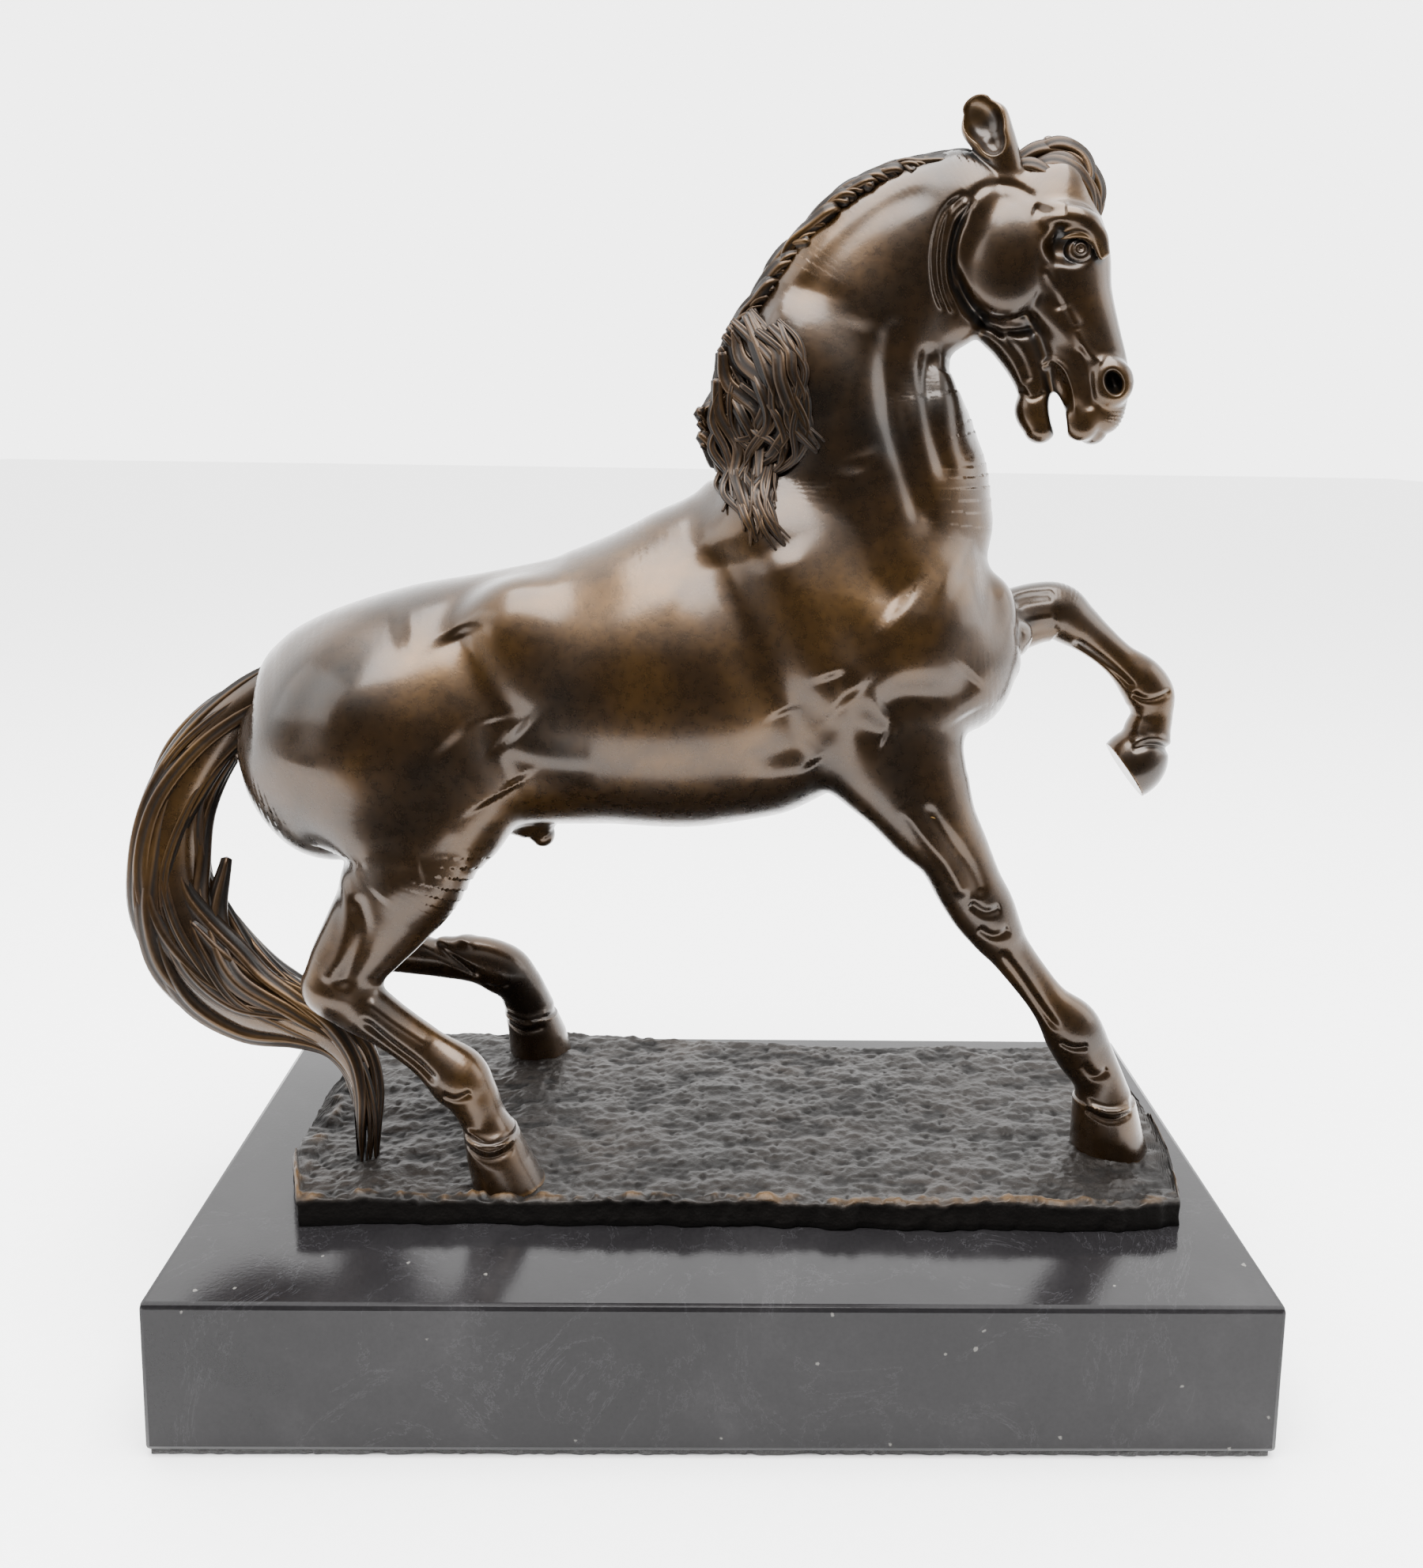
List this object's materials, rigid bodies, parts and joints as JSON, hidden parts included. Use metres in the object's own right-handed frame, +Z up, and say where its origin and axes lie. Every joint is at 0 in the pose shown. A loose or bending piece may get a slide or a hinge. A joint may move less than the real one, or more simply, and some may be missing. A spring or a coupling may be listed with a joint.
{
  "type": "bronze horse statue",
  "caption": "Patinated bronze horse stepping with one foreleg raised, its tail touching the ground, on a cast ground plate bolted to a dark stone base with felt.",
  "frame": {"origin": "underside of the felt, under the middle of the marble base", "axes": "+Z up, +X towards the horse's head, -Y the horse's right side"},
  "size_m": [0.3294, 0.16, 0.3628],
  "materials": {
    "patinated_bronze": "satin patinated",
    "bare_bronze": "as machined",
    "dark_stone": "polished",
    "black_felt": "felted",
    "zinc_steel": "zinc plated"
  },
  "bodies": {
    "root": {"ground_plate": "patinated_bronze", "body_shell": "patinated_bronze", "neck_shell": "patinated_bronze", "head_shell": "patinated_bronze", "right_foreleg": "patinated_bronze", "left_foreleg": "patinated_bronze", "right_hind_leg": "patinated_bronze", "left_hind_leg": "patinated_bronze", "tail": "patinated_bronze", "core_plugs": "patinated_bronze", "neck_sleeve": "bare_bronze", "head_sleeve": "bare_bronze", "neck_rivets": "bare_bronze", "head_rivets": "bare_bronze", "foreleg_rivets": "bare_bronze", "hind_leg_rivets": "bare_bronze", "tail_rivet": "bare_bronze", "marble_base": "dark_stone", "felt_sheet": "black_felt", "base_bolts": "zinc_steel", "base_washers": "zinc_steel", "foot_studs": "zinc_steel", "foot_nuts": "zinc_steel", "foot_washers": "zinc_steel"}
  },
  "joints": []
}
